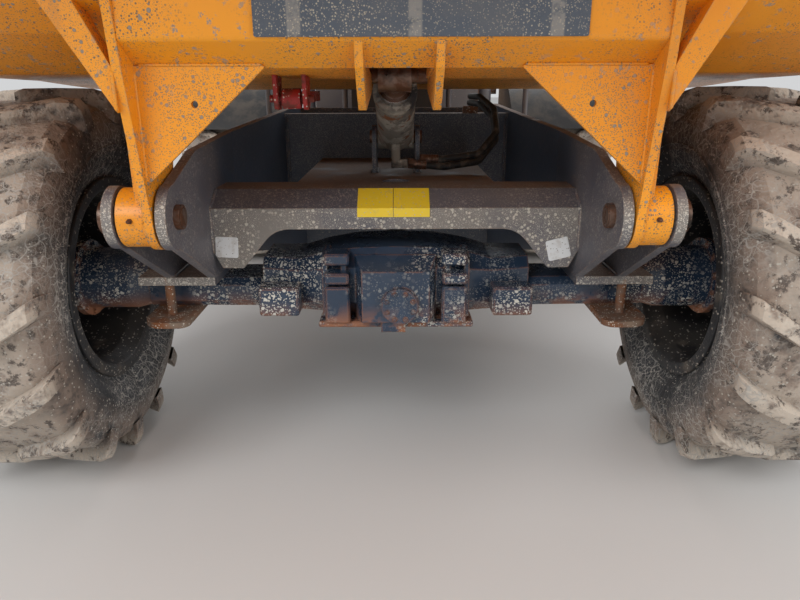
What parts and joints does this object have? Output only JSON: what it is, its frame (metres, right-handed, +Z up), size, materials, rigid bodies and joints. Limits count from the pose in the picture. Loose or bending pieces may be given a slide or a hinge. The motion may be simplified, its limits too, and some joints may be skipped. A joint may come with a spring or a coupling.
{
  "type": "site dumper",
  "caption": "Articulated site dumper with a front tipping skip on pivot arms, a central tipping ram, four lugged tyres, a driving place and a roll bar.",
  "frame": {"origin": "on the ground at the middle of the machine's length and width", "axes": "+X across the machine, to the right when it is seen from the skip end; -Y towards the skip lip, +Y towards the tail; +Z up"},
  "size_m": [2.66, 4.7, 2.998],
  "materials": {
    "skip_paint": "worn gloss",
    "chassis_paint": "worn satin",
    "axle_paint": "worn gloss",
    "tyre_rubber": "matte",
    "rim_paint": "satin",
    "pin_steel": "rusty",
    "ram_black": "satin",
    "rod_chrome": "polished",
    "hose_rubber": "matte",
    "prop_red": "worn",
    "panel_slate": "matte",
    "seat_vinyl": "matte",
    "black_plastic": "matte",
    "lamp_glass": "clear",
    "beacon_amber": "clear",
    "cast_iron": "rough"
  },
  "bodies": {
    "front_frame": {"front_axle": "axle_paint", "front_axle_clamps": "pin_steel", "front_chassis": "chassis_paint", "front_prop_shaft": "pin_steel", "hose_clip": "pin_steel", "ram_base_pin": "pin_steel", "ram_hoses": "hose_rubber", "skip_pivot_pins": "pin_steel", "steer_base_pin": "pin_steel", "steering_pin": "pin_steel"},
    "skip": {"body_prop": "prop_red", "ram_eye_pins": "pin_steel", "skip_arms": "skip_paint", "skip_braces": "skip_paint", "skip_front_panel": "panel_slate", "skip_tub": "skip_paint", "skip_underframe": "skip_paint"},
    "ram_barrel_body": {"ram_barrel": "ram_black"},
    "ram_stage_body": {"ram_stage": "rod_chrome"},
    "ram_rod_body": {"ram_rod": "rod_chrome"},
    "steer_barrel_body": {"steer_barrel": "ram_black"},
    "steer_rod_body": {"steer_rod": "rod_chrome"},
    "rear_frame": {"beacon": "beacon_amber", "console": "black_plastic", "cover_hinge_pins": "pin_steel", "engine_block": "cast_iron", "exhaust": "pin_steel", "hand_rails": "chassis_paint", "lever_box": "black_plastic", "pedals": "black_plastic", "platform": "chassis_paint", "rear_axle": "axle_paint", "rear_axle_clamps": "pin_steel", "rear_chassis": "chassis_paint", "rear_mudguards": "black_plastic", "rear_prop_shaft": "pin_steel", "roll_bar": "chassis_paint", "seat_backrest": "seat_vinyl", "seat_base": "black_plastic", "seat_cushion": "seat_vinyl", "side_steps": "chassis_paint", "side_tanks": "chassis_paint", "steer_eye_pins": "pin_steel", "steering_wheel": "black_plastic", "tail_lamps": "lamp_glass", "tail_weight": "chassis_paint"},
    "engine_cover_body": {"engine_cover": "skip_paint"},
    "wheel_front_left": {"tyre_front_left": "tyre_rubber", "rim_front_left": "rim_paint"},
    "wheel_front_right": {"tyre_front_right": "tyre_rubber", "rim_front_right": "rim_paint"},
    "wheel_rear_left": {"tyre_rear_left": "tyre_rubber", "rim_rear_left": "rim_paint"},
    "wheel_rear_right": {"tyre_rear_right": "tyre_rubber", "rim_rear_right": "rim_paint"}
  },
  "joints": [
    {"name": "chassis_steering", "type": "hinge", "parent": "front_frame", "child": "rear_frame", "pos_m": [0, 0.23, 0.62], "axis": [0, 0, 1], "range_deg": [-33, 33]},
    {"name": "skip_tip", "type": "hinge", "parent": "front_frame", "child": "skip", "pos_m": [0, -1.463, 0.854], "axis": [1, 0, 0], "range_deg": [0, 70]},
    {"name": "ram_barrel_swing", "type": "hinge", "parent": "front_frame", "child": "ram_barrel_body", "pos_m": [0, -0.7, 0.985], "axis": [1, 0, 0], "range_deg": [-1, 5.8]},
    {"name": "ram_stage_slide", "type": "slide", "parent": "ram_barrel_body", "child": "ram_stage_body", "axis": [0, -0.9207, 0.3903], "range_m": [0, 0.26]},
    {"name": "ram_rod_slide", "type": "slide", "parent": "ram_stage_body", "child": "ram_rod_body", "axis": [0, -0.9207, 0.3903], "range_m": [0, 0.26]},
    {"name": "steer_barrel_swing", "type": "hinge", "parent": "front_frame", "child": "steer_barrel_body", "pos_m": [-0.3, -0.24, 0.678], "axis": [0, 0, 1], "range_deg": [-12, 12]},
    {"name": "steer_rod_slide", "type": "slide", "parent": "steer_barrel_body", "child": "steer_rod_body", "axis": [0.1758, 0.9844, 0], "range_m": [-0.17, 0.17]},
    {"name": "engine_cover_lift", "type": "hinge", "parent": "rear_frame", "child": "engine_cover_body", "pos_m": [0, 1.398, 1.652], "axis": [1, 0, 0], "range_deg": [0, 55]},
    {"name": "wheel_front_left_roll", "type": "hinge", "parent": "front_frame", "child": "wheel_front_left", "pos_m": [-1.09, -1.02, 0.575], "axis": [1, 0, 0], "continuous": true},
    {"name": "wheel_front_right_roll", "type": "hinge", "parent": "front_frame", "child": "wheel_front_right", "pos_m": [1.09, -1.02, 0.575], "axis": [1, 0, 0], "continuous": true},
    {"name": "wheel_rear_left_roll", "type": "hinge", "parent": "rear_frame", "child": "wheel_rear_left", "pos_m": [-1.09, 1.58, 0.575], "axis": [1, 0, 0], "continuous": true},
    {"name": "wheel_rear_right_roll", "type": "hinge", "parent": "rear_frame", "child": "wheel_rear_right", "pos_m": [1.09, 1.58, 0.575], "axis": [1, 0, 0], "continuous": true}
  ],
  "couplings": [
    {"joint": "ram_barrel_swing", "follows": "skip_tip", "ratio": 0.0686},
    {"joint": "ram_stage_slide", "follows": "skip_tip", "m_per_rad": 0.21},
    {"joint": "ram_rod_slide", "follows": "skip_tip", "m_per_rad": 0.21},
    {"joint": "steer_barrel_swing", "follows": "chassis_steering", "ratio": 0.0914},
    {"joint": "steer_rod_slide", "follows": "chassis_steering", "m_per_rad": -0.2067}
  ]
}
